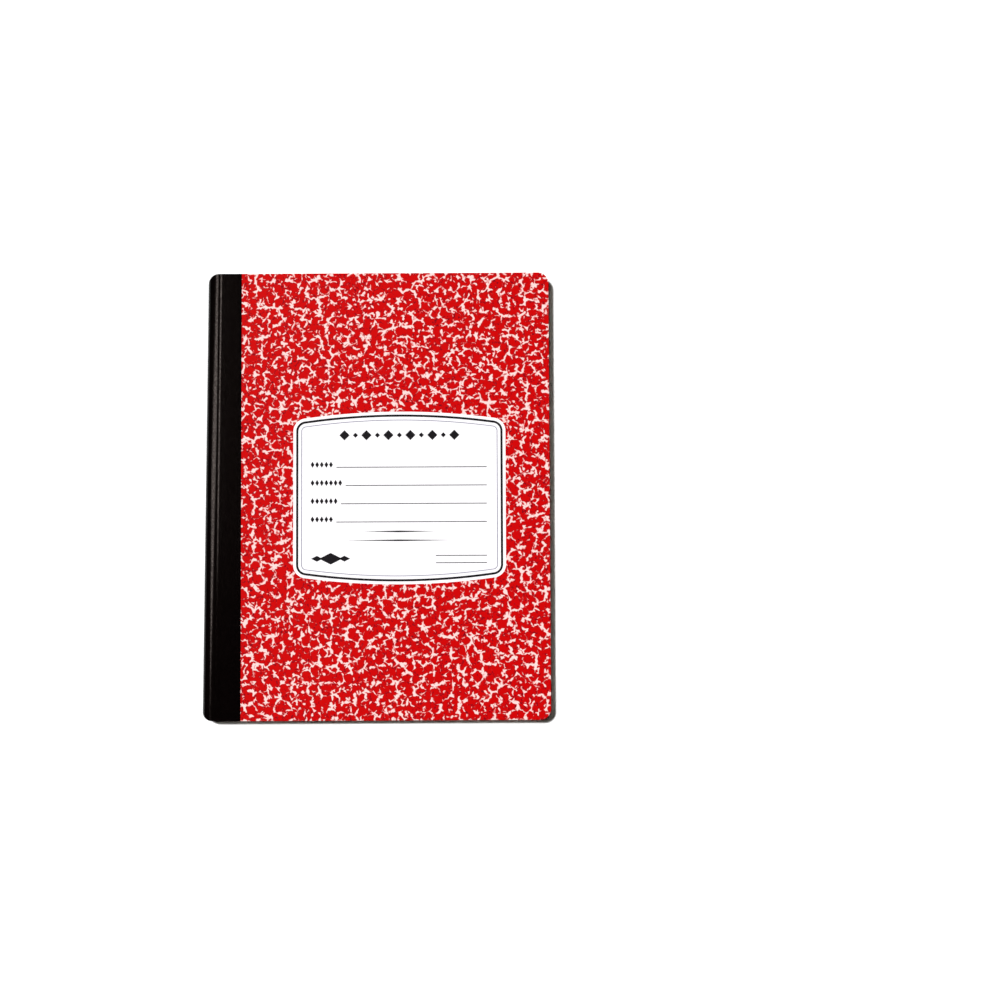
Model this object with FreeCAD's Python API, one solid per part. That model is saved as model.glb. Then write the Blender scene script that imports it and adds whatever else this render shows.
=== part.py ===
"""A centre-sewn composition notebook lying closed on its back cover.

The cover is one card folded round a single fold of sheets and sewn through it, with a cloth tape over the
fold. The covers turn on the two creases beside the fold, so the card and the tape are divided there.

X runs across the book from the fold to the fore edge, Y from the tail to the head and Z up through the
thickness. The origin is the centre of the footprint, on the surface that the book lies on. Sizes are in mm.
"""
import FreeCAD, Part
import math
import os
import random

# The trimmed book
book_height = 247.65
book_width = 190.5  # at half height, from the fold to the fore edge
spine_lean = 2.4  # how much further out the fold stands at the tail than at the head
corner_radius = 6.0
waste_margin = 2.0  # how far the rounding tool stands out past the trimmed edges and faces

# The sheets, folded once and laid inside each other
sheet_count = 100
sheet_caliper = 0.085

# The cover card
card_thickness = 0.95
leaf_clearance = 0.05  # between the card and the outermost sheet
fold_depth = 8.1  # from the crease to the outside of the fold
fold_nose_radius = 4.0  # of the outside of the fold at its foremost
crease_gap = 0.15  # width of the crease that a cover turns on

# The cloth tape over the fold
tape_thickness = 0.25
tape_width_shown = 20.1  # on each cover at half height, from the outside of the fold
tape_bed = 0.13  # how far the tape is pressed into the card
glue_film = 0.03

# The sewing
thread_diameter = 0.5
thread_clearance = 0.05
stitch_length = 12.0
sewing_margin = 8.0  # from the head and the tail to the nearest needle hole, at least

# The label printed on the front cover
ink_thickness = 0.05
label_width = 112.9  # to the middle of the border line on each side
label_height = 91.2
label_offset = 12.3  # how far its centre lies towards the fore edge from the middle of the cover
label_drop = 1.4  # how far its centre lies below half height
label_bow_radius = 378.0  # of the bowed top and bottom edges
label_corner_radius = 5.0
border_line = 1.2
halo_reach = 2.2  # from the middle of the border line out to the edge of the white field
hairline_inset = 2.45
hairline_width = 0.4

# The writing lines, each with a row of small lozenges before it; heights count from the label's centre
caption_counts = (5, 7, 6, 5)  # lozenges before each line
caption_inset = 7.15  # from the middle of the border line to the first lozenge
caption_pitch = 2.55
caption_width = 2.1
caption_height = 3.4
rule_top = 16.8
rule_pitch = 10.1
rule_gap = 1.7  # from the lozenges to the start of the line
rule_inset = 8.25  # from the end of a line to the middle of the border line
rule_width = 0.45

# The row of lozenges at the head of the label
heading_height = 34.8
heading_length = 66.8
heading_count = 11
heading_size = 5.7

# The two tapering rules, the ornament and the two short lines at the foot of the label
taper_heights = (-18.6, -23.5)
taper_lengths = (41.0, 59.0)
taper_width = 0.9
ornament_inset = 18.45  # from the middle of the border line to the ornament's centre
ornament_height = -33.5
ornament_pitch = 7.6
ornament_size = 6.4
short_line_heights = (-32.2, -36.2)
short_line_length = 28.2

# The marbling: white flecks thrown on the red of the front cover at random, the largest first
fleck_reaches = (4.4, 3.0, 1.7)  # from a fleck's centre to its furthest tip
fleck_arm_counts = (4, 3, 2)
fleck_throw_counts = (1500, 4000, 4000)
fleck_waist = 0.42  # how deep the hollows between the arms go, as a share of the reach
fleck_gap = 0.15
fleck_margin = 0.8  # kept free beside the tape, the label and the trimmed edges
fleck_seed = 11

# Worked out from the sizes above; heights are counted from the middle of the thickness
half_pages = sheet_count * sheet_caliper / 2
card_inner = half_pages + leaf_clearance
card_outer = card_inner + card_thickness
card_bed = card_outer - tape_bed
tape_inner = card_bed + glue_film
half_total = tape_inner + tape_thickness
lean_slope = spine_lean / book_height
nose_reach = fold_depth - fold_nose_radius
shoulder_radius = (nose_reach**2 + half_total**2 - fold_nose_radius**2) / (2 * (half_total - fold_nose_radius))
half_width = (book_width + lean_slope * (book_height / 2 - corner_radius)) / 2
middle_x = half_width - book_width / 2
tape_edge = half_width - book_width + tape_width_shown
label_x = middle_x + label_offset
label_y = -label_drop
caption_left = caption_inset - label_width / 2
rule_right = label_width / 2 - rule_inset


def fold_x(y):
    """X of the outside of the fold at height y on the page."""
    return -half_width + lean_slope * (y + book_height / 2 - corner_radius)


def crease_x(y):
    """X of the crease that both covers turn on."""
    return fold_x(y) + fold_depth


def polygon_face(points):
    """A flat face bounded by straight lines through the points."""
    corners = [FreeCAD.Vector(*point) for point in points]
    return Part.Face(Part.makePolygon(corners + corners[:1]))


def upright_edges(solid):
    """The edges of a prism that run along Z."""
    return [edge for edge in solid.Edges if abs(edge.tangentAt(edge.FirstParameter).z) > 0.999]


def corner_waste(before, corner, after):
    """What rounding takes off one corner of the closed book, from three neighbouring corners."""
    to_before = (before - corner).normalize()
    to_after = (after - corner).normalize()
    half_turn = to_before.getAngle(to_after) / 2
    inwards = (to_before + to_after).normalize()
    centre = corner + inwards * (corner_radius / math.sin(half_turn))
    start = corner + to_before * (corner_radius / math.tan(half_turn))
    end = corner + to_after * (corner_radius / math.tan(half_turn))
    start_out = (start - centre).normalize() * waste_margin
    end_out = (end - centre).normalize() * waste_margin
    edges = [
        Part.Arc(start, centre - inwards * corner_radius, end).toShape(),
        Part.makeLine(end, end + end_out),
        Part.makeLine(end + end_out, corner + start_out + end_out),
        Part.makeLine(corner + start_out + end_out, start + start_out),
        Part.makeLine(start + start_out, start),
    ]
    face = Part.Face(Part.Wire(edges))
    face.translate(FreeCAD.Vector(0, 0, -waste_margin))
    return face.extrude(FreeCAD.Vector(0, 0, 2 * half_total + 2 * waste_margin))


def all_waste():
    """What rounding takes off the four corners."""
    low, high = -book_height / 2, book_height / 2
    outline = [(fold_x(low), low), (half_width, low), (half_width, high), (fold_x(high), high)]
    corners = [FreeCAD.Vector(x, y, 0) for x, y in outline]
    return [corner_waste(corners[index - 1], corners[index], corners[(index + 1) % 4]) for index in range(4)]


def run_of_fold(edges):
    """A section, drawn at mid height with X counted from the crease, carried along the leaning fold."""
    lean = math.degrees(math.atan(lean_slope))
    section = Part.Face(Part.Wire(Part.__sortEdges__(edges)))
    section.translate(FreeCAD.Vector(0, -book_height, 0))
    run = section.extrude(FreeCAD.Vector(0, 2 * book_height, 0))
    run.rotate(FreeCAD.Vector(0, 0, 0), FreeCAD.Vector(0, 0, 1), -lean)
    run.translate(FreeCAD.Vector(crease_x(0), 0, half_total))
    between_trims = Part.makeBox(2 * book_height, book_height, 2 * book_height)
    between_trims.translate(FreeCAD.Vector(-book_height, -book_height / 2, -book_height))
    return run.common(between_trims)


def fold_curve(half_height):
    """A round nose between two round shoulders, for the layer this far from the middle of the thickness."""
    depth = half_total - half_height
    nose, shoulder = fold_nose_radius - depth, shoulder_radius - depth
    turn = math.atan2(shoulder_radius - half_total, nose_reach)
    joint = FreeCAD.Vector(-nose_reach - nose * math.cos(turn), 0, nose * math.sin(turn))
    bend = (math.pi / 2 - turn) / 2
    shoulder_middle = FreeCAD.Vector(
        -shoulder * math.sin(bend), 0, half_total - shoulder_radius + shoulder * math.cos(bend)
    )
    tip = FreeCAD.Vector(-nose_reach - nose, 0, 0)
    edges = [Part.Arc(joint, tip, FreeCAD.Vector(joint.x, 0, -joint.z)).toShape()]
    for side in (-1, 1):
        crease = FreeCAD.Vector(0, 0, side * half_height)
        middle = FreeCAD.Vector(shoulder_middle.x, 0, side * shoulder_middle.z)
        edges.append(Part.Arc(crease, middle, FreeCAD.Vector(joint.x, 0, side * joint.z)).toShape())
    return edges


def line(start, end):
    """A straight edge in the X-Z plane."""
    return Part.makeLine(FreeCAD.Vector(start[0], 0, start[1]), FreeCAD.Vector(end[0], 0, end[1]))


def folded_layer(outer, inner):
    """A sheet folded round the spine, from one crease line to the other."""
    ends = [line((0, -outer), (0, -inner)), line((0, inner), (0, outer))]
    return run_of_fold(fold_curve(outer) + fold_curve(inner) + ends)


def flat_layer(low, high, right):
    """A flat sheet between two heights, from the crease to X of right."""
    tail, head = -book_height / 2, book_height / 2
    outline = [
        (crease_x(tail) + crease_gap, tail, half_total + low),
        (right, tail, half_total + low),
        (right, head, half_total + low),
        (crease_x(head) + crease_gap, head, half_total + low),
    ]
    return polygon_face(outline).extrude(FreeCAD.Vector(0, 0, high - low))


def sewing_route():
    """The corners of the thread's line: a running stitch in and out through the fold."""
    along = FreeCAD.Vector(spine_lean, book_height, 0).normalize()
    across = FreeCAD.Vector(along.y, -along.x, 0)
    start = FreeCAD.Vector(crease_x(0), 0, half_total)
    outside = -(fold_depth - (half_total - card_bed) - thread_diameter / 2)
    inside = -(fold_depth - half_total) + thread_diameter / 2
    stitches = int((book_height - 2 * sewing_margin) / stitch_length)
    points = []
    for index in range(stitches + 1):
        hole = start + along * ((index - stitches / 2) * stitch_length)
        before, after = (inside, outside) if index % 2 else (outside, inside)
        if index > 0:
            points.append(hole + across * before)
        if index < stitches:
            points.append(hole + across * after)
    return points


def thread_solid(diameter):
    """The sewing thread, or with a larger diameter the channel that holds it, square at each needle hole."""
    points = sewing_route()
    section = Part.Wire(Part.makeCircle(diameter / 2, points[0], points[1] - points[0]))
    square_turns = 1
    return Part.makePolygon(points).makePipeShell([section], True, False, square_turns)


def page_block():
    """All the sheets, folded round each other into one block, before its corners are rounded."""
    flats = [
        line((0, -half_pages), (fold_depth, -half_pages)),
        line((fold_depth, -half_pages), (fold_depth, half_pages)),
        line((fold_depth, half_pages), (0, half_pages)),
    ]
    leaves = flat_layer(-half_pages, half_pages, half_width)
    return run_of_fold(fold_curve(half_pages) + flats).fuse(leaves).removeSplitter()


def cover_card(side):
    """The flat card of one cover, with the tape's edge pressed into its outer face; side is +1 or -1."""
    low, high = sorted((side * card_inner, side * card_outer))
    card = flat_layer(low, high, half_width)
    low, high = sorted((side * card_bed, side * half_total))
    return card.cut(flat_layer(low, high, tape_edge))


def cover_tape(side):
    """The part of the tape that is glued down on one cover."""
    low, high = sorted((side * tape_inner, side * half_total))
    return flat_layer(low, high, tape_edge)


def label_prism(inset, layer):
    """The label's bowed outline, drawn in from the border's middle, as one layer of ink on the cover."""
    half = label_width / 2 - inset
    apex = label_height / 2 - inset
    bow = label_bow_radius - inset
    corner = apex - bow + math.sqrt(bow * bow - half * half)
    points = [
        FreeCAD.Vector(*point)
        for point in ((-half, corner, 0), (0, apex, 0), (half, corner, 0), (half, -corner, 0), (0, -apex, 0),
                      (-half, -corner, 0))
    ]
    edges = [
        Part.Arc(points[0], points[1], points[2]).toShape(),
        Part.makeLine(points[2], points[3]),
        Part.Arc(points[3], points[4], points[5]).toShape(),
        Part.makeLine(points[5], points[0]),
    ]
    face = Part.Face(Part.Wire(edges))
    face.translate(FreeCAD.Vector(label_x, label_y, half_total + card_outer + layer * ink_thickness))
    prism = face.extrude(FreeCAD.Vector(0, 0, ink_thickness))
    return prism.makeFillet(label_corner_radius - inset, upright_edges(prism))


def label_ring(middle, width):
    """A line of ink that follows the label's outline, centred this far inside the border's middle."""
    return label_prism(middle - width / 2, 1).cut(label_prism(middle + width / 2, 1))


def ink_on_label(points):
    """A shape printed on the label, from points counted from the label's centre."""
    base = half_total + card_outer + ink_thickness
    face = polygon_face([(label_x + x, label_y + y, base) for x, y in points])
    return face.extrude(FreeCAD.Vector(0, 0, ink_thickness))


def printed_line(left, right, y):
    """A line of the writing lines' thickness, standing on height y."""
    return ink_on_label([(left, y), (right, y), (right, y + rule_width), (left, y + rule_width)])


def lozenge(x, y, width, height):
    """A lozenge centred on a place on the label."""
    half, rise = width / 2, height / 2
    return ink_on_label([(x - half, y), (x, y - rise), (x + half, y), (x, y + rise)])


def label_rules():
    """The lines to write on, and the two short lines at the foot."""
    lines = []
    for index, count in enumerate(caption_counts):
        left = caption_left + count * caption_pitch + rule_gap
        lines.append(printed_line(left, rule_right, rule_top - index * rule_pitch))
    for y in short_line_heights:
        lines.append(printed_line(rule_right - short_line_length, rule_right, y))
    return lines


def label_ornaments():
    """The lozenges of the heading, before each writing line and at the foot, and the tapering rules."""
    shapes = []
    pitch = heading_length / heading_count
    for index in range(heading_count):
        size = heading_size if index % 2 == 0 else heading_size / 2
        x = (index - (heading_count - 1) / 2) * pitch
        shapes.append(lozenge(x, heading_height, size, size))
    for row, count in enumerate(caption_counts):
        y = rule_top - row * rule_pitch + caption_height / 2
        for index in range(count):
            x = caption_left + (index + 0.5) * caption_pitch
            shapes.append(lozenge(x, y, caption_width, caption_height))
    for y, length in zip(taper_heights, taper_lengths):
        shapes.append(lozenge(0, y, length, taper_width))
    for index in (-1, 0, 1):
        size = ornament_size if index == 0 else ornament_size / 2
        x = ornament_inset - label_width / 2 + index * ornament_pitch
        shapes.append(lozenge(x, ornament_height, 2 * size, size))
    return shapes


def room_on_cover(x, y):
    """How far a point of the marbled field lies from the tape, the trimmed edges and the label's field."""
    past_side = x - (half_width - corner_radius)
    past_end = abs(y) - (book_height / 2 - corner_radius)
    past_corner = math.hypot(max(past_side, 0), max(past_end, 0))
    from_edges = corner_radius - past_corner - min(max(past_side, past_end), 0)
    bow = (x - label_x) ** 2 / (2 * label_bow_radius)
    past_label_side = abs(x - label_x) - label_width / 2 - halo_reach
    past_label_end = abs(y - label_y) - label_height / 2 - halo_reach + bow
    from_label = math.hypot(max(past_label_side, 0), max(past_label_end, 0))
    return min(x - tape_edge, from_edges, from_label)


def fleck_places(chance):
    """Centres, reaches and arms of the flecks, each clear of those thrown before it."""
    placed = []
    for reach, arms, throws in zip(fleck_reaches, fleck_arm_counts, fleck_throw_counts):
        for _ in range(throws):
            x = chance.uniform(tape_edge, half_width)
            y = chance.uniform(-book_height / 2, book_height / 2)
            if room_on_cover(x, y) < reach + fleck_margin:
                continue
            if all(math.hypot(x - px, y - py) > reach + other + fleck_gap for px, py, other, _ in placed):
                placed.append((x, y, reach, arms))
    return placed


def fleck_outline(x, y, reach, arms, chance):
    """The corners of one fleck: bent arms that taper to their tips, with hollows between them."""
    share = 2 * math.pi / arms
    turn = chance.uniform(0, share)
    corners = []
    for index in range(arms):
        tip_angle = turn + index * share + chance.uniform(-0.25, 0.25) * share
        tip = reach * chance.uniform(0.7, 1.0)
        hollow_angle = turn + (index + 0.5) * share
        hollow = reach * fleck_waist * chance.uniform(0.7, 1.2)
        corners.append((x + tip * math.cos(tip_angle), y + tip * math.sin(tip_angle)))
        corners.append((x + hollow * math.cos(hollow_angle), y + hollow * math.sin(hollow_angle)))
    return corners


def front_flecks():
    """The white flecks of the marbling, clear of the label, the tape and the trimmed edges."""
    chance = random.Random(fleck_seed)
    base = half_total + card_outer
    flecks = []
    for x, y, reach, arms in fleck_places(chance):
        face = polygon_face([(px, py, base) for px, py in fleck_outline(x, y, reach, arms, chance)])
        flecks.append(face.extrude(FreeCAD.Vector(0, 0, ink_thickness)))
    return flecks


def save(name, shape):
    """Writes one node and prints what it holds."""
    shape.exportStep(os.path.join("parts", name + ".step"))
    print(f"{name}: {len(shape.Solids)} solids, {shape.Volume:.1f} mm3, valid {shape.isValid()}")


def main():
    """Builds every node."""
    os.makedirs("parts", exist_ok=True)
    waste = all_waste()
    thread = thread_solid(thread_diameter)
    channel = thread_solid(thread_diameter + 2 * thread_clearance)
    save("page_block", page_block().cut(waste).cut(channel))
    save("binding_thread", thread)
    save("card_fold", folded_layer(card_bed, card_inner).cut(waste).cut(channel))
    save("spine_tape", folded_layer(half_total, tape_inner).cut(waste))
    save("front_cover", cover_card(1).cut(waste))
    save("back_cover", cover_card(-1).cut(waste))
    save("front_tape", cover_tape(1))
    save("back_tape", cover_tape(-1))
    save("label_panel", label_prism(-halo_reach, 0))
    save("label_border", label_ring(0, border_line))
    save("label_hairline", label_ring(hairline_inset, hairline_width))
    save("label_rules", Part.makeCompound(label_rules()))
    save("label_ornaments", Part.makeCompound(label_ornaments()))
    save("front_marbling", Part.makeCompound(front_flecks()))


main()
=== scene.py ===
"""The looks of a centre-sewn composition notebook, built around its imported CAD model.

The notebook lies closed on its back cover. One card is folded round fifty folded sheets, the outside of each
cover carries a sheet of marbled paper, and a strip of black book cloth covers the fold. Lengths are in
millimetres in the code and in metres in the meshes. X runs from the fold to the fore edge, Y from the tail to
the head and Z up.
"""
import logging
import math
import random
from collections.abc import Callable, Iterator
from contextlib import contextmanager
from dataclasses import dataclass
from enum import Enum

import bmesh
import bpy
from mathutils import Matrix, Vector

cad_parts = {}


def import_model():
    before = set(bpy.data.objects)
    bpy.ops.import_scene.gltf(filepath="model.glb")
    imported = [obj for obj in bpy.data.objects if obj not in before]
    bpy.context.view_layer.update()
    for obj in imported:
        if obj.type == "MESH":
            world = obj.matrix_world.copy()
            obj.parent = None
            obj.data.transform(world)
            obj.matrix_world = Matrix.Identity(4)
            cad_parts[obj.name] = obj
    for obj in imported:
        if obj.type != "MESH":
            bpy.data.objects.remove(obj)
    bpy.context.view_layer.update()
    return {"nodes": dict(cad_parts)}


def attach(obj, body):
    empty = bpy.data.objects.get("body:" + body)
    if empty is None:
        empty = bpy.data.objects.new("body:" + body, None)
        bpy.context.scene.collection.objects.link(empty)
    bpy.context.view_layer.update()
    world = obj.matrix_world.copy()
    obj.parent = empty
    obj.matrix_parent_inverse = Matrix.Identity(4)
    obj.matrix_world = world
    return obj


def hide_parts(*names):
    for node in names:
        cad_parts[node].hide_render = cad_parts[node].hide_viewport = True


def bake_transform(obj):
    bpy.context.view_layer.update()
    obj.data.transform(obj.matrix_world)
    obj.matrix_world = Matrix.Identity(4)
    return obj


LOG = logging.getLogger("notebook")
MM = 0.001
CLOSE = 1e-3  # millimetres within which two places count as one


class Side(Enum):
    """The two covers, by the direction that each one's outside faces."""

    FRONT = 1
    BACK = -1


class Pick(Enum):
    """What edit mode selects."""

    VERTS = "VERT"
    EDGES = "EDGE"
    FACES = "FACE"


def linear(code: str) -> tuple[float, float, float, float]:
    """Turns an sRGB hex colour into the linear colour that a shader wants.

    Args:
        code: Six hex digits.

    Returns:
        Red, green, blue and an alpha of one.
    """
    channels = [int(code[start : start + 2], 16) / 255 for start in (0, 2, 4)]
    low = [channel / 12.92 for channel in channels]
    high = [((channel + 0.055) / 1.055) ** 2.4 for channel in channels]
    red, green, blue = (b if channel > 0.04045 else a for channel, a, b in zip(channels, low, high))
    return red, green, blue, 1.0


def add_node(
    tree: bpy.types.NodeTree,
    kind: str,
    settings: dict[str | int, object] | None = None,
    links: dict[str | int, bpy.types.NodeSocket] | None = None,
) -> bpy.types.Node:
    """Adds one shader node.

    Args:
        tree: The node tree that it goes into.
        kind: The node's type.
        settings: Properties by name, and unlinked inputs by name or number.
        links: The output that feeds each linked input.

    Returns:
        The new node.
    """
    node = tree.nodes.new(kind)
    for name, value in (settings or {}).items():
        if isinstance(name, str) and name in node.bl_rna.properties:
            setattr(node, name, value)
        else:
            node.inputs[name].default_value = value
    for name, source in (links or {}).items():
        tree.links.new(source, node.inputs[name])
    return node


def new_material(
    name: str, settings: dict[str | int, object]
) -> tuple[bpy.types.Material, bpy.types.NodeTree, bpy.types.Node]:
    """Starts a material with its principled shader joined to the output.

    Args:
        name: What the real material is called.
        settings: The shader's values that are the same all over the surface.

    Returns:
        The material, its node tree and its shader.
    """
    material = bpy.data.materials.new(name)
    material.use_nodes = True
    tree = material.node_tree
    tree.nodes.clear()
    shader = add_node(tree, "ShaderNodeBsdfPrincipled", settings)
    add_node(tree, "ShaderNodeOutputMaterial", links={"Surface": shader.outputs["BSDF"]})
    return material, tree, shader


def millimetres(
    tree: bpy.types.NodeTree, stretch: tuple[float, float, float] = (1, 1, 1)
) -> bpy.types.NodeSocket:
    """Object coordinates counted in millimetres.

    Args:
        tree: The node tree.
        stretch: How many times finer a pattern gets along each axis.

    Returns:
        The vector output.
    """
    place = add_node(tree, "ShaderNodeTexCoord")
    scale = [factor / MM for factor in stretch]
    mapping = add_node(tree, "ShaderNodeMapping", {"Scale": scale}, {"Vector": place.outputs["Object"]})
    return mapping.outputs["Vector"]


def deselect_all() -> None:
    """Leaves nothing selected in object mode."""
    bpy.ops.object.select_all(action="DESELECT")


def activate(piece: bpy.types.Object) -> None:
    """Selects one object alone and makes it the active one.

    Args:
        piece: The object.
    """
    deselect_all()
    piece.select_set(True)
    bpy.context.view_layer.objects.active = piece


def apply_place(piece: bpy.types.Object) -> None:
    """Moves an object's place, turn and scale into its mesh."""
    activate(piece)
    bpy.ops.object.transform_apply(location=True, rotation=True, scale=True)


@contextmanager
def editing(piece: bpy.types.Object, pick: Pick) -> Iterator[None]:
    """Holds a piece in edit mode with nothing selected.

    Args:
        piece: The mesh object.
        pick: What is to be selected in it.
    """
    activate(piece)
    bpy.ops.object.mode_set(mode="EDIT")
    bpy.ops.mesh.select_mode(type=pick.value)
    bpy.ops.mesh.select_all(action="DESELECT")
    yield
    bpy.ops.object.mode_set(mode="OBJECT")


def select_where(piece: bpy.types.Object, pick: Pick, test: Callable[[Vector], bool]) -> int:
    """Selects what lies wholly where a test says, in edit mode, and nothing else.

    Args:
        piece: The mesh object in edit mode.
        pick: Vertices, edges or faces.
        test: Says whether a vertex's place, in millimetres, is wanted.

    Returns:
        How many were selected.
    """
    bpy.ops.mesh.select_all(action="DESELECT")
    shape = bmesh.from_edit_mesh(piece.data)
    found = 0
    if pick is Pick.VERTS:
        for vert in shape.verts:
            if test(vert.co / MM):
                vert.select_set(True)
                found += 1
    else:
        for item in shape.edges if pick is Pick.EDGES else shape.faces:
            if all(test(vert.co / MM) for vert in item.verts):
                item.select_set(True)
                found += 1
    bmesh.update_edit_mesh(piece.data)
    return found


def add_plane(
    name: str, low: tuple[float, float], high: tuple[float, float], height: float
) -> bpy.types.Object:
    """Adds a plane primitive between two corners.

    Args:
        name: The piece's name.
        low: X and Y of one corner, in millimetres.
        high: X and Y of the opposite corner.
        height: Its Z.

    Returns:
        The object, with its place in its mesh.
    """
    deselect_all()
    centre = Vector(((low[0] + high[0]) / 2, (low[1] + high[1]) / 2, height)) * MM
    bpy.ops.mesh.primitive_plane_add(size=1, location=centre)
    piece = bpy.context.active_object
    piece.name = piece.data.name = name
    piece.scale = ((high[0] - low[0]) * MM, (high[1] - low[1]) * MM, 1)
    apply_place(piece)
    return piece


def apply_modifier(piece: bpy.types.Object, kind: str, **settings: object) -> None:
    """Adds a modifier and applies it.

    Args:
        piece: The object.
        kind: The modifier's type.
        settings: Its properties.
    """
    activate(piece)
    modifier = piece.modifiers.new(kind.title(), kind)
    for name, value in settings.items():
        setattr(modifier, name, value)
    bpy.ops.object.modifier_apply(modifier=modifier.name)


def face_outwards(piece: bpy.types.Object) -> None:
    """Turns every face of a closed mesh outwards.

    Args:
        piece: The object.
    """
    with editing(piece, Pick.FACES):
        bpy.ops.mesh.select_all(action="SELECT")
        bpy.ops.mesh.normals_make_consistent(inside=False)


def smooth(piece: bpy.types.Object, degrees: float = 30.0) -> None:
    """Shades a piece smooth where its faces meet at less than an angle.

    Args:
        piece: The object.
        degrees: The angle.
    """
    activate(piece)
    bpy.ops.object.shade_smooth_by_angle(angle=math.radians(degrees))


def join(name: str, pieces: list[bpy.types.Object]) -> bpy.types.Object:
    """Joins pieces into one object.

    Args:
        name: The name of the whole.
        pieces: The objects.

    Returns:
        The joined object.
    """
    deselect_all()
    for piece in pieces:
        piece.select_set(True)
    bpy.context.view_layer.objects.active = pieces[0]
    bpy.ops.object.join()
    pieces[0].name = pieces[0].data.name = name
    return pieces[0]


def copy_of(piece: bpy.types.Object, name: str) -> bpy.types.Object:
    """Copies an object with a mesh of its own.

    Args:
        piece: The object to copy.
        name: The copy's name.

    Returns:
        The copy.
    """
    copy = piece.copy()
    copy.data = piece.data.copy()
    copy.name = copy.data.name = name
    bpy.context.scene.collection.objects.link(copy)
    return copy


def dress(piece: bpy.types.Object, *materials: bpy.types.Material) -> None:
    """Gives a piece its materials, in place of any that it has.

    Args:
        piece: The object.
        materials: The materials, in the order that its faces count them.
    """
    piece.data.materials.clear()
    for material in materials:
        piece.data.materials.append(material)


@dataclass(frozen=True)
class Crackle:
    """One layer of the marbling: the edges of a crackle, thick where they meet and broken in between.

    Lengths are in millimetres.
    """

    cell: float  # from one crackle cell to the next
    half_width: float  # of a fleck at its thickest
    wander: float  # how far the edges are bent
    wander_period: float  # the size of the bends
    break_period: float  # the size of the patches that decide which edges show
    junction: float  # how much the width depends on how near a point is to a junction
    chance: float  # how much it depends on the patches
    amount: float  # raises or lowers how much shows
    shift: tuple[float, float]  # moves the layer, so that no two are alike
    mean_distance: float = 0.55  # of a point to the centre of its cell, in cells
    mean_noise: float = 0.5

    def build(self, tree: bpy.types.NodeTree, place: bpy.types.NodeSocket) -> bpy.types.NodeSocket:
        """How far inside a fleck a point lies, in millimetres; it is negative outside.

        Args:
            tree: The node tree.
            place: Coordinates in millimetres.

        Returns:
            The distance.
        """
        noise = {"noise_dimensions": "2D", "Detail": 1.0}
        moved = add_node(
            tree, "ShaderNodeVectorMath", {"operation": "ADD", 1: (*self.shift, 0)}, {0: place}
        )
        bends = add_node(
            tree, "ShaderNodeTexNoise", {**noise, "Scale": 1 / self.wander_period},
            {"Vector": moved.outputs[0]},
        )
        centred = add_node(
            tree, "ShaderNodeVectorMath", {"operation": "SUBTRACT", 1: (self.mean_noise,) * 3},
            {0: bends.outputs["Color"]},
        )
        bent = add_node(
            tree, "ShaderNodeVectorMath", {"operation": "MULTIPLY_ADD", 1: (2 * self.wander,) * 3},
            {0: centred.outputs[0], 2: moved.outputs[0]},
        )
        cells = {"voronoi_dimensions": "2D", "Scale": 1 / self.cell}
        edge = add_node(
            tree, "ShaderNodeTexVoronoi", {**cells, "feature": "DISTANCE_TO_EDGE"},
            {"Vector": bent.outputs[0]},
        )
        centre = add_node(
            tree, "ShaderNodeTexVoronoi", {**cells, "feature": "F1"}, {"Vector": bent.outputs[0]}
        )
        patches = add_node(
            tree, "ShaderNodeTexNoise", {**noise, "Scale": 1 / self.break_period},
            {"Vector": moved.outputs[0]},
        )
        base = self.amount - self.mean_distance * self.junction - self.mean_noise * self.chance
        near = add_node(
            tree, "ShaderNodeMath", {"operation": "MULTIPLY_ADD", 1: self.junction, 2: base},
            {0: centre.outputs["Distance"]},
        )
        shown = add_node(
            tree, "ShaderNodeMath", {"operation": "MULTIPLY_ADD", 1: self.chance},
            {0: patches.outputs["Fac"], 2: near.outputs[0]},
        )
        capped = add_node(tree, "ShaderNodeMath", {"operation": "MINIMUM", 1: 1.0}, {0: shown.outputs[0]})
        width = add_node(
            tree, "ShaderNodeMath", {"operation": "MULTIPLY", 1: self.half_width}, {0: capped.outputs[0]}
        )
        inside = add_node(
            tree, "ShaderNodeMath", {"operation": "MULTIPLY_ADD", 1: -self.cell},
            {0: edge.outputs["Distance"], 2: width.outputs[0]},
        )
        return inside.outputs[0]


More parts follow.
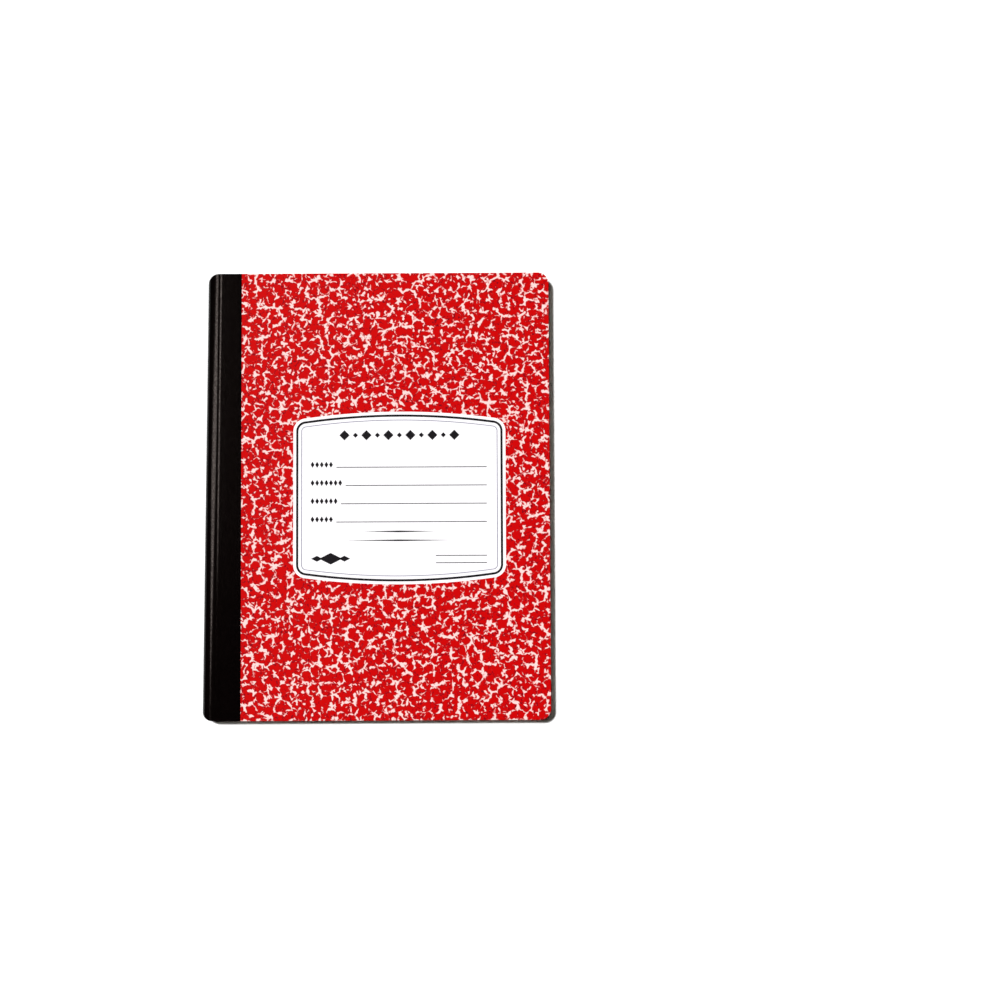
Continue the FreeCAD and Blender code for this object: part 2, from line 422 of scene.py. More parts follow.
@dataclass(frozen=True)
class MarbledPaper:
    """Offset-printed litho paper, glued on the card and varnished: it gives an even, barely glossy red.

    The marbling is the bare white of the paper, in branching flecks.
    """

    red: str = "C80204"
    pooled_red: str = "52081A"  # where the ink lies thicker, in specks round the flecks
    white: str = "FAD8D4"
    layers: tuple[Crackle, ...] = (
        Crackle(5.2, 0.64, 1.5, 2.9, 3.3, 3.5, 8.0, -0.05, (0.0, 0.0)),
        Crackle(4.0, 0.5, 1.3, 2.4, 3.6, 3.5, 8.0, -0.9, (47.0, 79.9)),
    )
    soft: float = 0.34  # how far the ink bleeds into a fleck's edge, in millimetres
    speck: float = 1.2  # from one dark speck to the next, in millimetres
    speck_gap: float = 0.65  # how far from a fleck's edge the specks lie, in millimetres
    speck_spread: float = 0.55  # how far they fade out on both sides of it, as a share of the gap
    speck_levels: tuple[float, float] = (0.46, 0.58)  # the noise between which a speck gets dark
    roughness: float = 0.5
    ior: float = 1.5
    shine: float = 0.2  # of the varnish, which is thin

    def build(self) -> bpy.types.Material:
        """Builds the material.

        Returns:
            The printed paper.
        """
        material, tree, shader = new_material(
            "Marbled litho paper",
            {"Roughness": self.roughness, "IOR": self.ior, "Specular IOR Level": self.shine},
        )
        place = millimetres(tree)
        inside = self.layers[0].build(tree, place)
        for layer in self.layers[1:]:
            both = add_node(
                tree, "ShaderNodeMath", {"operation": "MAXIMUM"}, {0: inside, 1: layer.build(tree, place)}
            )
            inside = both.outputs[0]
        fleck = add_node(
            tree, "ShaderNodeMapRange",
            {"interpolation_type": "SMOOTHSTEP", "From Min": -self.soft, "From Max": self.soft},
            {"Value": inside},
        )
        beside = add_node(tree, "ShaderNodeMath", {"operation": "ADD", 1: self.speck_gap}, {0: inside})
        off = add_node(tree, "ShaderNodeMath", {"operation": "ABSOLUTE"}, {0: beside.outputs[0]})
        spread = self.speck_spread * self.speck_gap
        ring = add_node(
            tree, "ShaderNodeMapRange", {"From Max": spread, "To Min": 1.0, "To Max": 0.0},
            {"Value": off.outputs[0]},
        )
        noise = add_node(
            tree, "ShaderNodeTexNoise", {"noise_dimensions": "2D", "Scale": 1 / self.speck, "Detail": 0.0},
            {"Vector": place},
        )
        faint, full = self.speck_levels
        specks = add_node(
            tree, "ShaderNodeMapRange", {"From Min": faint, "From Max": full}, {"Value": noise.outputs["Fac"]}
        )
        pool = add_node(
            tree, "ShaderNodeMath", {"operation": "MULTIPLY"}, {0: ring.outputs[0], 1: specks.outputs[0]}
        )
        ink = add_node(
            tree, "ShaderNodeMix", {"data_type": "RGBA", 6: linear(self.red), 7: linear(self.pooled_red)},
            {0: pool.outputs[0]},
        )
        colour = add_node(
            tree, "ShaderNodeMix", {"data_type": "RGBA", 7: linear(self.white)},
            {0: fleck.outputs[0], 6: ink.outputs[2]},
        )
        tree.links.new(colour.outputs[2], shader.inputs["Base Color"])
        return material


@dataclass(frozen=True)
class CoverCard:
    """Grey-white pulp board lined with paper inside: matt, with fibres that show along the cut edges."""

    liner: str = "DEDBD2"
    liner_mottle: float = 0.02  # how much the fibres change the colour
    core: str = "CFCAC0"
    core_mottle: float = 0.12
    fibre: float = 0.35  # a bundle's thickness in millimetres, coarser than the real 0.03 so that it shows
    lie: tuple[float, float, float] = (1, 1, 3)  # the fibres lie flat in the sheet
    depth: float = 0.03  # of its surface, in millimetres
    roughness: float = 0.85
    ior: float = 1.5
    shine: float = 0.25

    def build(self) -> tuple[bpy.types.Material, bpy.types.Material]:
        """Builds both materials.

        Returns:
            The white liner and the cut edge.
        """
        liner = self.finish("White liner paper", self.liner, self.liner_mottle)
        return liner, self.finish("Cut pulp board", self.core, self.core_mottle)

    def finish(self, name: str, colour: str, mottle: float) -> bpy.types.Material:
        """Builds one of the two.

        Args:
            name: The material's name.
            colour: Its sRGB colour.
            mottle: How much the fibres change the colour.

        Returns:
            The material.
        """
        material, tree, shader = new_material(
            name, {"Roughness": self.roughness, "IOR": self.ior, "Specular IOR Level": self.shine}
        )
        noise = add_node(
            tree, "ShaderNodeTexNoise", {"Scale": 1 / self.fibre, "Detail": 3.0, "Roughness": 0.6},
            {"Vector": millimetres(tree, self.lie)},
        )
        base = linear(colour)
        dark = tuple(channel * (1 - 2 * mottle) for channel in base[:3]) + (1.0,)
        mixed = add_node(
            tree, "ShaderNodeMix", {"data_type": "RGBA", 6: dark, 7: base}, {0: noise.outputs["Fac"]}
        )
        bump = add_node(
            tree, "ShaderNodeBump", {"Strength": 0.25, "Distance": self.depth * MM},
            {"Height": noise.outputs["Fac"]},
        )
        tree.links.new(mixed.outputs[2], shader.inputs["Base Color"])
        tree.links.new(bump.outputs["Normal"], shader.inputs["Normal"])
        return material


@dataclass(frozen=True)
class BookCloth:
    """Black book cloth filled with starch and embossed like leather: a sheen that breaks into grains."""

    black: str = "040202"
    grain_top_colour: str = "090505"  # the tops of the grains, a little lighter than the black between them
    grain: float = 0.7  # from one embossed grain to the next, in millimetres
    depth: float = 0.05  # of the grains, in millimetres
    relief: float = 0.04  # how much of that depth bends the light
    shine: tuple[float, float] = (0.1, 0.34)  # between the grains and on their tops
    roughness: float = 0.12
    ior: float = 1.5

    def build(self) -> bpy.types.Material:
        """Builds the material.

        Returns:
            The cloth.
        """
        material, tree, shader = new_material(
            "Embossed black book cloth", {"Roughness": self.roughness, "IOR": self.ior}
        )
        place = millimetres(tree)
        bend = add_node(
            tree, "ShaderNodeTexNoise", {"Scale": 1 / (2 * self.grain), "Detail": 2.0}, {"Vector": place}
        )
        moved = add_node(
            tree, "ShaderNodeVectorMath", {"operation": "MULTIPLY_ADD", 1: (self.grain,) * 3},
            {0: bend.outputs["Color"], 2: place},
        )
        grains = add_node(
            tree, "ShaderNodeTexVoronoi",
            {"feature": "SMOOTH_F1", "Scale": 1 / self.grain, "Smoothness": 0.6},
            {"Vector": moved.outputs[0]},
        )
        tops = add_node(
            tree, "ShaderNodeMapRange", {"From Min": 0.15, "From Max": 0.6, "To Min": 1.0, "To Max": 0.0},
            {"Value": grains.outputs["Distance"]},
        )
        # the grain tops get the lighter colour, the black lies between them
        colour = add_node(
            tree, "ShaderNodeMix", {"data_type": "RGBA", 6: linear(self.black), 7: linear(self.grain_top_colour)},
            {0: tops.outputs[0]},
        )
        bump = add_node(
            tree, "ShaderNodeBump", {"Strength": self.relief, "Distance": self.depth * MM},
            {"Height": tops.outputs[0]},
        )
        dull, bright = self.shine
        shine = add_node(
            tree, "ShaderNodeMapRange", {"To Min": dull, "To Max": bright}, {"Value": tops.outputs[0]}
        )
        tree.links.new(colour.outputs[2], shader.inputs["Base Color"])
        tree.links.new(bump.outputs["Normal"], shader.inputs["Normal"])
        tree.links.new(shine.outputs[0], shader.inputs["Specular IOR Level"])
        return material


@dataclass(frozen=True)
class WritingPaper:
    """Uncoated wood-free paper: matt and slightly warm, with a cloudy look where light falls across it."""

    shade: str = "ECE9DF"
    deep: str = "E2DED2"
    cloud: float = 6.0  # the size of the clouds in the sheet, in millimetres
    layers: tuple[float, float, float] = (1, 1, 12)  # the clouds are flat, so that each sheet has its own
    tooth: float = 0.4  # the grain of the surface, in millimetres
    depth: float = 0.02  # of that grain
    roughness: float = 0.9
    shine: float = 0.2

    def build(self) -> bpy.types.Material:
        """Builds the material.

        Returns:
            The paper.
        """
        material, tree, shader = new_material(
            "Uncoated writing paper", {"Roughness": self.roughness, "Specular IOR Level": self.shine}
        )
        cloud = add_node(
            tree, "ShaderNodeTexNoise", {"Scale": 1 / self.cloud, "Detail": 4.0},
            {"Vector": millimetres(tree, self.layers)},
        )
        tooth = add_node(
            tree, "ShaderNodeTexNoise", {"Scale": 1 / self.tooth, "Detail": 2.0},
            {"Vector": millimetres(tree)},
        )
        mixed = add_node(
            tree, "ShaderNodeMix", {"data_type": "RGBA", 6: linear(self.deep), 7: linear(self.shade)},
            {0: cloud.outputs["Fac"]},
        )
        bump = add_node(
            tree, "ShaderNodeBump", {"Strength": 0.2, "Distance": self.depth * MM},
            {"Height": tooth.outputs["Fac"]},
        )
        tree.links.new(mixed.outputs[2], shader.inputs["Base Color"])
        tree.links.new(bump.outputs["Normal"], shader.inputs["Normal"])
        return material


@dataclass(frozen=True)
class PrintingInk:
    """Offset ink on varnished paper: an even film, a little uneven where the paper took less of it."""

    name: str
    colour: str
    lighter: str
    patch: float = 0.9  # the size of the uneven patches, in millimetres
    roughness: float = 0.45
    shine: float = 0.3

    def build(self) -> bpy.types.Material:
        """Builds the material.

        Returns:
            The ink.
        """
        material, tree, shader = new_material(
            self.name, {"Roughness": self.roughness, "Specular IOR Level": self.shine}
        )
        noise = add_node(
            tree, "ShaderNodeTexNoise", {"Scale": 1 / self.patch, "Detail": 2.0},
            {"Vector": millimetres(tree)},
        )
        mixed = add_node(
            tree, "ShaderNodeMix", {"data_type": "RGBA", 6: linear(self.colour), 7: linear(self.lighter)},
            {0: noise.outputs["Fac"]},
        )
        tree.links.new(mixed.outputs[2], shader.inputs["Base Color"])
        return material


@dataclass(frozen=True)
class CottonThread:
    """Twisted cotton sewing thread: matt, with its plies winding round at a steep slant."""

    shade: str = "EFEBE0"
    shadow: str = "B9B2A2"
    twist: float = 0.9  # from one ply to the next along the thread, in millimetres
    depth: float = 0.05  # between the plies
    roughness: float = 0.9
    shine: float = 0.2

    def build(self) -> bpy.types.Material:
        """Builds the material.

        Returns:
            The thread.
        """
        material, tree, shader = new_material(
            "Twisted cotton thread", {"Roughness": self.roughness, "Specular IOR Level": self.shine}
        )
        plies = add_node(
            tree, "ShaderNodeTexWave",
            {"bands_direction": "DIAGONAL", "Scale": 1 / (self.twist * math.pi)},
            {"Vector": millimetres(tree)},
        )
        mixed = add_node(
            tree, "ShaderNodeMix", {"data_type": "RGBA", 6: linear(self.shadow), 7: linear(self.shade)},
            {0: plies.outputs["Fac"]},
        )
        bump = add_node(
            tree, "ShaderNodeBump", {"Strength": 0.5, "Distance": self.depth * MM},
            {"Height": plies.outputs["Fac"]},
        )
        tree.links.new(mixed.outputs[2], shader.inputs["Base Color"])
        tree.links.new(bump.outputs["Normal"], shader.inputs["Normal"])
        return material


@dataclass(frozen=True)
class BookShape:
    """The sizes that the layers share, in millimetres, as the CAD model has them."""

    height: float = 247.65
    width: float = 190.5  # at half height
    lean: float = 2.4  # how much further out the fold stands at the tail
    corner_radius: float = 6.0
    corner_segments: int = 14
    fold_depth: float = 8.1  # from the crease to the outside of the fold
    nose_radius: float = 4.0  # of the fold's outermost part
    nose_steps: int = 28
    shoulder_steps: int = 10
    middle: float = 5.4  # half the thickness
    pages: float = 4.25  # from the middle of the thickness to the outside of the sheets
    card_inner: float = 4.3  # this and the next four are counted from the same place
    card_outer: float = 5.12
    print_outer: float = 5.25
    tape_inner: float = 5.15
    tape_outer: float = 5.4
    tape_shown: float = 20.1  # from the fold to the tape's edge on a cover
    oversize: float = 4.0  # what is drawn past a trimmed edge before it is cut
    clearance: float = 0.05  # keeps the trimming off the round of the fold
    hinge_zone: float = 1.2  # how wide the bend beside the crease is
    hinge_steps: int = 12

    @property
    def slope(self) -> float:
        """How far the fold goes sideways for each unit of height."""
        return self.lean / self.height

    @property
    def half_width(self) -> float:
        """X of the fore edge."""
        return (self.width + self.slope * (self.height / 2 - self.corner_radius)) / 2

    @property
    def tape_edge(self) -> float:
        """X of the tape's edge on a cover."""
        return self.half_width - self.width + self.tape_shown

    @property
    def nose_reach(self) -> float:
        """How far the centre of the fold's nose lies from the crease."""
        return self.fold_depth - self.nose_radius

    @property
    def shoulder_radius(self) -> float:
        """The radius of the fold's outside between the crease and the nose."""
        rise = self.middle**2 - self.nose_radius**2 + self.nose_reach**2
        return rise / (2 * (self.middle - self.nose_radius))

    @property
    def nose_turn(self) -> float:
        """Half of the angle that the nose turns through."""
        return math.atan2(self.shoulder_radius - self.middle, self.nose_reach)

    def fold_x(self, y: float) -> float:
        """X of the outside of the fold at a height on the page."""
        return -self.half_width + self.slope * (y + self.height / 2 - self.corner_radius)

    def crease_x(self, y: float) -> float:
        """X of the crease at a height on the page."""
        return self.fold_x(y) + self.fold_depth

    def trimming_block(self, right: float, round_right: bool, extra: float = 0.0) -> bpy.types.Object:
        """Makes the space that the trimming leaves: the outline of the closed book as a prism.

        Args:
            right: X of its right side.
            round_right: Whether its right corners are rounded, as its left ones always are.
            extra: How much less is left at the head, the tail and the right side.

        Returns:
            The prism.
        """
        tail, head = -self.height / 2 + extra, self.height / 2 - extra
        left = -self.half_width
        block = add_plane("trimming_block", (left, tail), (right - extra, head), -self.oversize)
        with editing(block, Pick.VERTS):
            for y in (tail, head):
                select_where(
                    block, Pick.VERTS, lambda co, y=y: abs(co.x - left) < CLOSE and abs(co.y - y) < CLOSE
                )
                shift = self.fold_x(y) - self.clearance - left
                bpy.ops.transform.translate(value=(shift * MM, 0, 0))
            bpy.ops.mesh.select_all(action="SELECT")
            depth = 2 * (self.middle + self.oversize)
            bpy.ops.mesh.extrude_region_move(TRANSFORM_OT_translate={"value": (0, 0, depth * MM)})
        with editing(block, Pick.EDGES):
            shape = bmesh.from_edit_mesh(block.data)
            for edge in shape.edges:
                low, high = edge.verts[0].co / MM, edge.verts[1].co / MM
                upright = abs(low.z - high.z) > self.middle
                on_left = low.x < self.nose_radius + left
                if upright and (on_left or round_right):
                    edge.select_set(True)
            bmesh.update_edit_mesh(block.data)
            bpy.ops.mesh.bevel(
                offset=self.corner_radius * MM, segments=self.corner_segments, profile=0.5, affect="EDGES"
            )
        face_outwards(block)
        return block

    def bent_strip(
        self, name: str, outside: float, flap: float, turns: tuple[float, float, float]
    ) -> bpy.types.Object:
        """Draws a sheet's outside from a flat flap on the front cover down round the fold.

        It is drawn oversize at the head and the tail, standing square, with X counted from the crease and Z
        from the middle of the thickness. A line of vertices beside the bend keeps the rest shaded flat.

        Args:
            name: The piece's name.
            outside: How far its face lies from the middle of the thickness.
            flap: How wide the flat part is.
            turns: How much of the front shoulder, the nose and the back shoulder it covers, as shares.

        Returns:
            The open sheet.
        """
        length = self.height / 2 + self.oversize
        strip = add_plane(name, (0, -length), (self.hinge_zone, length), outside)
        low_centre = self.middle - self.shoulder_radius
        shoulder_angle = math.pi / 2 - self.nose_turn
        arcs = (
            (shoulder_angle, (0, low_centre), self.shoulder_steps),
            (2 * self.nose_turn, (-self.nose_reach, 0), self.nose_steps),
            (shoulder_angle, (0, -low_centre), self.shoulder_steps),
        )
        with editing(strip, Pick.EDGES):
            drawn = self.hinge_zone
            for reach in (2 * self.hinge_zone, flap):
                select_where(strip, Pick.EDGES, lambda co, drawn=drawn: abs(co.x - drawn) < CLOSE)
                bpy.ops.mesh.extrude_region_move(
                    TRANSFORM_OT_translate={"value": ((reach - drawn) * MM, 0, 0)}
                )
                drawn = reach
            select_where(strip, Pick.EDGES, lambda co: co.x < self.hinge_zone + CLOSE)
            shape = bmesh.from_edit_mesh(strip.data)
            for edge in shape.edges:
                if abs(edge.verts[0].co.x - edge.verts[1].co.x) < CLOSE * MM:
                    edge.select_set(False)
            bmesh.update_edit_mesh(strip.data)
            bpy.ops.mesh.subdivide(number_cuts=self.hinge_steps - 1)
            end = Vector((0, 0, outside))
            for (angle, centre, steps), share in zip(arcs, turns):
                if share == 0:
                    break
                select_where(
                    strip, Pick.EDGES,
                    lambda co, end=end: abs(co.x - end.x) < CLOSE and abs(co.z - end.z) < CLOSE,
                )
                turn = angle * share
                middle = Vector((centre[0], 0, centre[1]))
                bpy.ops.mesh.spin(
                    steps=max(2, round(steps * share)), angle=turn, center=middle * MM, axis=(0, 1, 0)
                )
                end = middle + Matrix.Rotation(-turn, 3, "Y") @ (end - middle)
        return strip

    def lay_along_fold(self, piece: bpy.types.Object) -> None:
        """Turns a piece that was drawn square to lie along the leaning crease, at its real height.

        Args:
            piece: The piece.
        """
        lean = Matrix.Rotation(-math.atan(self.slope), 4, "Z")
        place = Matrix.Translation(Vector((self.crease_x(0), 0, self.middle)) * MM)
        piece.matrix_world = place @ lean
        apply_place(piece)

    def trim(self, piece: bpy.types.Object, right: float, round_right: bool, extra: float = 0.0) -> None:
        """Cuts a closed piece to the book's outline.

        Args:
            piece: The piece.
            right: X of the outline's right side.
            round_right: Whether the right corners are rounded.
            extra: How much more is cut off at the head, the tail and the right side.
        """
        block = self.trimming_block(right, round_right, extra)
        apply_modifier(piece, "BOOLEAN", operation="INTERSECT", solver="EXACT", object=block)
        bpy.data.objects.remove(block)

    def bend_at_crease(self, piece: bpy.types.Object, side: Side) -> None:
        """Bakes a piece's place and turn into its mesh.

        Args:
            piece: The piece.
            side: The cover that the crease belongs to. Not used.
        """
        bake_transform(piece)


def mirror_to_back(piece: bpy.types.Object) -> None:
    """Turns a piece that was drawn for the front into the back's, through the middle of the thickness.

    Args:
        piece: The piece.
    """
    with editing(piece, Pick.FACES):
        bpy.ops.mesh.select_all(action="SELECT")
        bpy.ops.transform.resize(value=(1, 1, -1), center_override=(0, 0, 0))
        bpy.ops.mesh.flip_normals()


@dataclass
class Cover:
    """One cover: half of the folded card, and the marbled paper on it."""

    shape: BookShape
    side: Side
    paper: bpy.types.Material
    liner: bpy.types.Material
    core: bpy.types.Material
    steep: float = 0.3  # how far a cut edge's normal rises, at most

    def card(self) -> bpy.types.Object:
        """Models the card from the middle of the fold to the fore edge.

        Returns:
            The card.
        """
        shape = self.shape
        name = f"{self.side.name.lower()}_card"
        flap = 2 * shape.half_width
        piece = shape.bent_strip(name, shape.card_outer, flap, (1.0, 0.5, 0.0))
        thickness = shape.card_outer - shape.card_inner
        apply_modifier(piece, "SOLIDIFY", thickness=thickness * MM, offset=-1.0, use_even_offset=True)
        if self.side is Side.BACK:
            mirror_to_back(piece)
        shape.lay_along_fold(piece)
        face_outwards(piece)
        shape.trim(piece, shape.half_width, True)
        dress(piece, self.liner, self.core)
        self.mark_cut_edges(piece)
        smooth(piece)
        shape.bend_at_crease(piece, self.side)
        nodes = ("front_cover", "card_fold") if self.side is Side.FRONT else ("back_cover", "card_fold")
        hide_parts(*nodes)
        return piece

    def mark_cut_edges(self, piece: bpy.types.Object) -> None:
        """Gives the bare core to the faces that the trimming cut.

        Args:
            piece: The card.
        """
        ends = self.shape.height / 2 - self.shape.corner_radius
        fore = self.shape.half_width - self.shape.corner_radius
        for face in piece.data.polygons:
            sideways = abs(face.normal.z) < self.steep
            at_trim = abs(face.center.y / MM) > ends or face.center.x / MM > fore
            face.material_index = 1 if sideways and at_trim else 0

    def print_sheet(self) -> bpy.types.Object:
        """Models the marbled paper from the tape to the fore edge.

        Returns:
            The paper.
        """
        shape = self.shape
        name = f"{self.side.name.lower()}_print"
        half = shape.height / 2
        piece = add_plane(name, (shape.tape_edge, -half), (shape.half_width, half), shape.card_outer)
        thickness = shape.print_outer - shape.card_outer
        with editing(piece, Pick.VERTS):
            select_where(piece, Pick.VERTS, lambda co: co.x > 0)
            bpy.ops.mesh.bevel(
                offset=shape.corner_radius * MM, segments=shape.corner_segments, profile=0.5,
                affect="VERTICES",
            )
            bpy.ops.mesh.select_all(action="SELECT")
            bpy.ops.mesh.extrude_region_move(TRANSFORM_OT_translate={"value": (0, 0, thickness * MM)})
        if self.side is Side.BACK:
            mirror_to_back(piece)
        piece.location.z = shape.middle * MM
        apply_place(piece)
        face_outwards(piece)
        dress(piece, self.paper)
        smooth(piece)
        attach(piece, f"{self.side.name.lower()}_board")
        if self.side is Side.FRONT:
            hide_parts("front_marbling", "front_cover")
        else:
            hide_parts("back_cover")
        return piece

    def build(self) -> list[bpy.types.Object]:
        """Builds the cover.

        Returns:
            Its pieces.
        """
        return [self.card(), self.print_sheet()]


@dataclass
class SpineCloth:
    """The black strip glued over the fold, in two lengths that meet out of sight under the back crease."""

    shape: BookShape
    cloth: bpy.types.Material
    seam: float = 1.5  # from the back crease to where the lengths meet

    def strip(self, side: Side) -> bpy.types.Object:
        """Models one of the two lengths.

        Args:
            side: The cover that it ends on.

        Returns:
            The cloth.
        """
        shape = self.shape
        seam_turn = math.asin(self.seam / shape.shoulder_radius) / (math.pi / 2 - shape.nose_turn)
        turns = (1.0, 1.0, 1.0 - seam_turn) if side is Side.FRONT else (seam_turn, 0.0, 0.0)
        name = f"spine_cloth_{side.name.lower()}"
        piece = shape.bent_strip(name, shape.tape_outer, shape.tape_shown, turns)
        thickness = shape.tape_outer - shape.tape_inner
        apply_modifier(piece, "SOLIDIFY", thickness=thickness * MM, offset=-1.0, use_even_offset=True)
        if side is Side.BACK:
            mirror_to_back(piece)
        shape.lay_along_fold(piece)
        face_outwards(piece)
        shape.trim(piece, shape.tape_edge, False)
        dress(piece, self.cloth)
        smooth(piece)
        shape.bend_at_crease(piece, side)
        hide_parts(f"{side.name.lower()}_tape", "spine_tape")
        return piece

    def build(self) -> list[bpy.types.Object]:
        """Builds both lengths.

        Returns:
            The pieces.
        """
        return [self.strip(Side.FRONT), self.strip(Side.BACK)]


@dataclass
class PageBlock:
    """The fifty folded sheets and the ruling on the two pages that face the covers."""

    shape: BookShape
    paper: bpy.types.Material
    line_ink: bpy.types.Material
    margin_ink: bpy.types.Material
    sheets: int = 50
    caliper: float = 0.085  # from one sheet to the next
    paper_thickness: float = 0.075  # a little less, so that the sheets show apart at the edges
    ragged: float = 0.12  # how unevenly the sheets end, at most
    seed: int = 5
    rule_pitch: float = 8.73  # wide ruling, eleven thirty-seconds of an inch
    rule_width: float = 0.22
    rule_start: float = 1.5  # from the crease
    rule_inset: float = 0.2  # from the trimmed edges
    film: float = 0.03  # the thickness of a line's ink, drawn thicker than real ink so that it is a solid
    sunk: float = 0.01  # how deep the middle of that lies in the page
    head_margin: float = 31.0
    foot_margin: float = 11.0
    red_margin: float = 31.75  # from the fold to the red line

    def outer_sheet(self) -> bpy.types.Object:
        """Draws the middle surface of the outermost folded sheet, from one fore edge round to the other.

        Returns:
            The open sheet.
        """
        shape = self.shape
        outside = shape.pages - self.caliper / 2
        flap = 2 * shape.half_width
        sheet = shape.bent_strip("page_sheet", outside, flap, (1.0, 1.0, 1.0))
        with editing(sheet, Pick.EDGES):
            select_where(sheet, Pick.EDGES, lambda co: abs(co.x) < CLOSE and abs(co.z + outside) < CLOSE)
            bpy.ops.mesh.extrude_region_move(TRANSFORM_OT_translate={"value": (flap * MM, 0, 0)})
        return sheet

    def build(self) -> list[bpy.types.Object]:
        """Builds the block and its ruling.

        Returns:
            The pieces.
        """
        shape = self.shape
        chance = random.Random(self.seed)
        outer = self.outer_sheet()
        outside = shape.pages - self.caliper / 2
        tip = shape.nose_reach + shape.nose_radius - (shape.middle - outside)
        sheets = []
        for index in range(self.sheets):
            depth = index * self.caliper
            share = (outside - depth) / outside
            reach = (tip - depth) / tip
            sheet = copy_of(outer, f"page_sheet_{index}")
            for vert in sheet.data.vertices:
                vert.co.z *= share
                if vert.co.x < 0:
                    vert.co.x *= reach
            apply_modifier(sheet, "SOLIDIFY", thickness=self.paper_thickness * MM, offset=0.0)
            shape.lay_along_fold(sheet)
            face_outwards(sheet)
            shape.trim(sheet, shape.half_width, True, chance.uniform(0.0, self.ragged))
            sheets.append(sheet)
        bpy.data.objects.remove(outer)
        block = join("page_sheets", sheets)
        dress(block, self.paper)
        smooth(block)
        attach(block, "book_block")
        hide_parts("page_block")
        return [block, *self.ruling()]

    def ruling(self) -> list[bpy.types.Object]:
        """Models the ruled lines on the first and the last page.

        Returns:
            The lines and the margins.
        """
        shape = self.shape
        left = shape.crease_x(0) + self.rule_start
        right = shape.half_width - self.rule_inset
        top = shape.height / 2 - self.head_margin
        count = int((top + shape.height / 2 - self.foot_margin) / self.rule_pitch) + 1
        half = shape.height / 2 - self.rule_inset
        lines, margins = [], []
        for side in Side:
            height = shape.middle + side.value * (shape.pages - self.sunk)
            for index in range(count):
                y = top - index * self.rule_pitch
                low, high = y - self.rule_width / 2, y + self.rule_width / 2
                lines.append(self.printed((left, low), (right, high), height))
            x = shape.crease_x(0) + self.red_margin - shape.fold_depth
            margins.append(self.printed((x, -half), (x + self.rule_width, half), height))
        rows = join("page_lines", lines)
        edge = join("page_margins", margins)
        for piece, ink in ((rows, self.line_ink), (edge, self.margin_ink)):
            face_outwards(piece)
            dress(piece, ink)
            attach(piece, "book_block")
        return [rows, edge]

    def printed(
        self, low: tuple[float, float], high: tuple[float, float], height: float
    ) -> bpy.types.Object:
        """Models one ruled line as a film of ink through a page's surface.

        Args:
            low: X and Y of one corner.
            high: X and Y of the opposite corner.
            height: Z of its middle.

        Returns:
            The line.
        """
        line = add_plane("ruled_line", low, high, height - self.film / 2)
        with editing(line, Pick.FACES):
            bpy.ops.mesh.select_all(action="SELECT")
            bpy.ops.mesh.extrude_region_move(TRANSFORM_OT_translate={"value": (0, 0, self.film * MM)})
        return line


@dataclass(frozen=True)
class StripLamp:
    """A soft box that shows only as a mirror image: it draws one highlight along the fold."""

    name: str
    place: tuple[float, float, float]  # in metres
    along: tuple[float, float, float]  # the direction of its long side
    size: tuple[float, float]  # its long and its short side, in metres
    watts: float
    colour: str = "FFEDE5"

    def add(self, target: tuple[float, float, float]) -> None:
        """Adds the lamp.

        Args:
            target: What it points at, in metres.
        """
        facing = (Vector(self.place) - Vector(target)).normalized()
        upward = facing.cross(Vector(self.along)).normalized()
        turn = Matrix((upward.cross(facing), upward, facing)).transposed().to_4x4()
        bpy.ops.object.light_add(type="AREA")
        lamp = bpy.context.active_object
        lamp.name = lamp.data.name = self.name
        lamp.data.shape = "RECTANGLE"
        lamp.data.size, lamp.data.size_y = self.size
        lamp.data.energy = self.watts
        lamp.data.color = linear(self.colour)[:3]
        lamp.matrix_world = Matrix.Translation(self.place) @ turn
        lamp.visible_diffuse = False


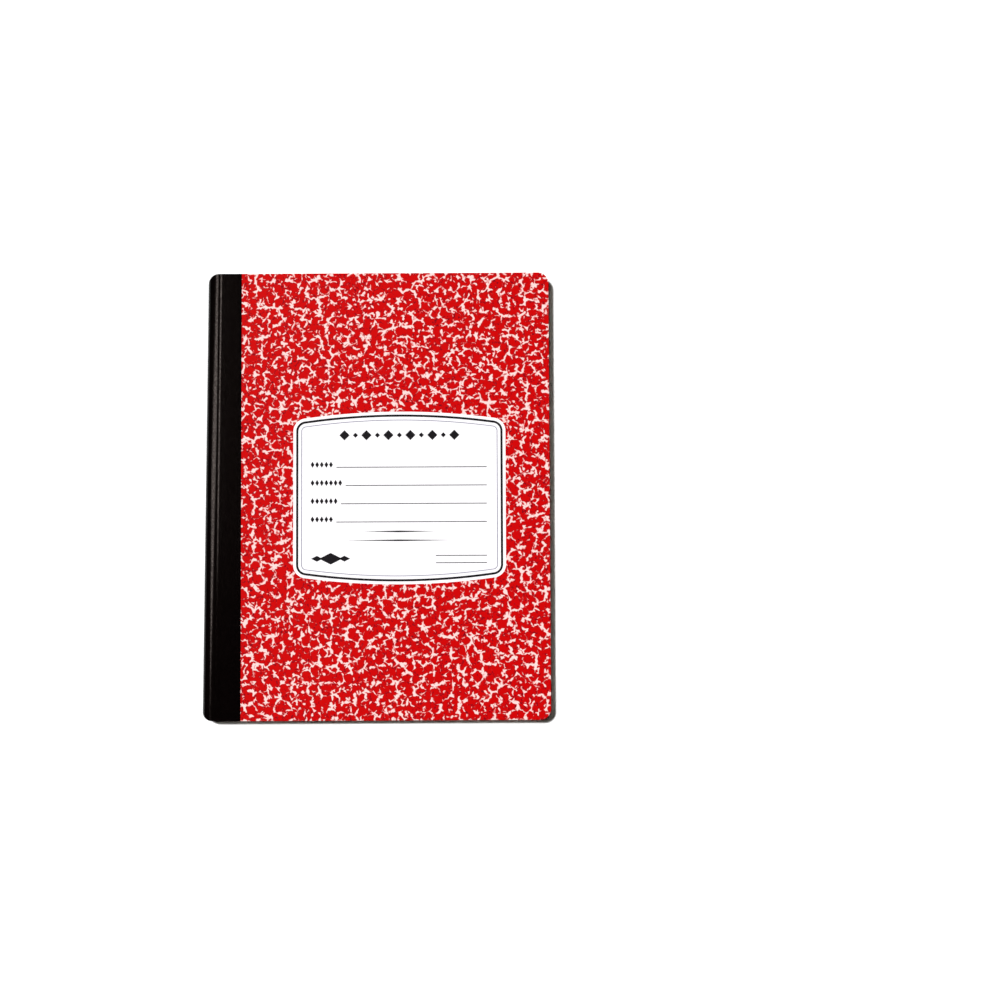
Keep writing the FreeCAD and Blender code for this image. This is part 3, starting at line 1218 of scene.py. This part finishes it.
@dataclass
class Studio:
    """The pale floor, the soft lights and the camera."""

    eye_reach: float = 1355.4  # from the point that the camera looks at
    look_x: float = 68.35
    look_y: float = -2.1
    tilt: float = 4.25  # degrees off straight down, towards the tail
    roll: float = -0.27
    sensor: float = 36.0
    lens: float = 87.7
    floor_reach: float = 3000.0
    floor_drop: float = 1.25  # a cover's thickness, so that the opened back cover lies on the floor
    towards_light: tuple[float, float, float] = (-0.83, 0.55, 3.2)
    exposure: float = 3.8  # of the main light, in watts per square metre
    softness: float = 5.5  # how wide the main light looks from the book, in degrees
    fold: tuple[float, float, float] = (-0.09, 0.0, 0.01)  # where the strips point, in metres
    strips: tuple[StripLamp, ...] = (
        StripLamp("fold_strip_low", (-0.883, 0.162, 0.888), (0.226, 0.262, 0.202), (0.5, 0.3), 3.0),
        StripLamp("fold_strip_high", (-0.352, 0.24, 1.171), (0, 1, 0), (0.4, 0.11), 1.2),
    )

    def floor(self) -> None:
        """Adds the floor."""
        reach = self.floor_reach
        floor = add_plane("studio_floor", (-reach, -reach), (reach, reach), -self.floor_drop)
        material, _tree, _shader = new_material(
            "White painted board",
            {"Base Color": linear("FFFFFF"), "Roughness": 0.9, "Specular IOR Level": 0.0},
        )
        dress(floor, material)

    def copy_lamp(self) -> None:
        """Adds the main light, which is as even as a copy stand's.

        Its crossed polarisers take its mirror image off the print.
        """
        bpy.ops.object.light_add(type="SUN")
        lamp = bpy.context.active_object
        lamp.name = lamp.data.name = "copy_light"
        lamp.data.energy = self.exposure
        lamp.data.angle = math.radians(self.softness)
        lamp.rotation_euler = Vector(self.towards_light).to_track_quat("Z", "Y").to_euler()
        lamp.visible_glossy = False

    def camera(self) -> None:
        """Adds the camera at the photograph's angle."""
        tilt, roll = math.radians(self.tilt), math.radians(self.roll)
        back = Vector((0, -math.sin(tilt), math.cos(tilt)))
        up = Vector((0, math.cos(tilt), math.sin(tilt)))
        side = Vector((1, 0, 0))
        rolled_side = side * math.cos(roll) + up * math.sin(roll)
        rolled_up = up * math.cos(roll) - side * math.sin(roll)
        bpy.ops.object.camera_add()
        camera = bpy.context.active_object
        camera.data.sensor_width = self.sensor
        camera.data.lens = self.lens
        eye = Vector((self.look_x, self.look_y, 0)) * MM + back * self.eye_reach * MM
        turn = Matrix((rolled_side, rolled_up, back)).transposed().to_4x4()
        camera.matrix_world = Matrix.Translation(eye) @ turn
        bpy.context.scene.camera = camera

    def build(self) -> None:
        """Builds the studio. Its pale walls are only seen, and light nothing."""
        self.floor()
        self.copy_lamp()
        for strip in self.strips:
            strip.add(self.fold)
        world = bpy.data.worlds.new("studio_air")
        world.use_nodes = True
        background = world.node_tree.nodes["Background"]
        background.inputs["Color"].default_value = linear("FFFFFF")
        background.inputs["Strength"].default_value = 1.0
        world.cycles_visibility.diffuse = False
        world.cycles_visibility.glossy = False
        bpy.context.scene.world = world
        bpy.context.scene.view_settings.view_transform = "Standard"
        self.camera()


def dress_printed_label(nodes: dict[str, bpy.types.Object]) -> None:
    """Gives the label's pieces, which keep their CAD shapes, their inks.

    Args:
        nodes: The CAD model's objects by name.
    """
    black = PrintingInk("Black offset ink", "0D0C10", "1B1A1F").build()
    grey = PrintingInk("Dark grey offset ink", "2C2C32", "3A3A41").build()
    lavender = PrintingInk("Lavender grey offset ink", "77748A", "85829A").build()
    white = PrintingInk(
        "Unprinted white litho paper", "FFFFFF", "FCF8FD", patch=14.0, roughness=0.5
    ).build()
    inks = {
        "label_panel": white, "label_border": black, "label_hairline": lavender, "label_rules": grey,
        "label_ornaments": black,
    }
    for name, ink in inks.items():
        dress(nodes[name], ink)
        LOG.info("%s: keeps its CAD shape", name)


def main() -> None:
    """Builds the notebook and its studio."""
    logging.basicConfig(level=logging.INFO, format="%(name)s %(message)s")
    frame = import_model()
    shape = BookShape()
    paper = MarbledPaper().build()
    liner, core = CoverCard().build()
    Studio().build()
    assemblies = [
        Cover(shape, Side.FRONT, paper, liner, core),
        Cover(shape, Side.BACK, paper, liner, core),
        SpineCloth(shape, BookCloth().build()),
        PageBlock(
            shape, WritingPaper().build(),
            PrintingInk("Pale blue ruling ink", "9DBBDD", "B4CBE6").build(),
            PrintingInk("Pale red ruling ink", "E38B95", "EBA3AB").build(),
        ),
    ]
    for assembly in assemblies:
        for piece in assembly.build():
            LOG.info("%s: %d faces", piece.name, len(piece.data.polygons))
    dress_printed_label(frame["nodes"])
    dress(frame["nodes"]["binding_thread"], CottonThread().build())
    LOG.info("binding_thread: keeps its CAD shape")


if __name__ == "__main__":
    main()
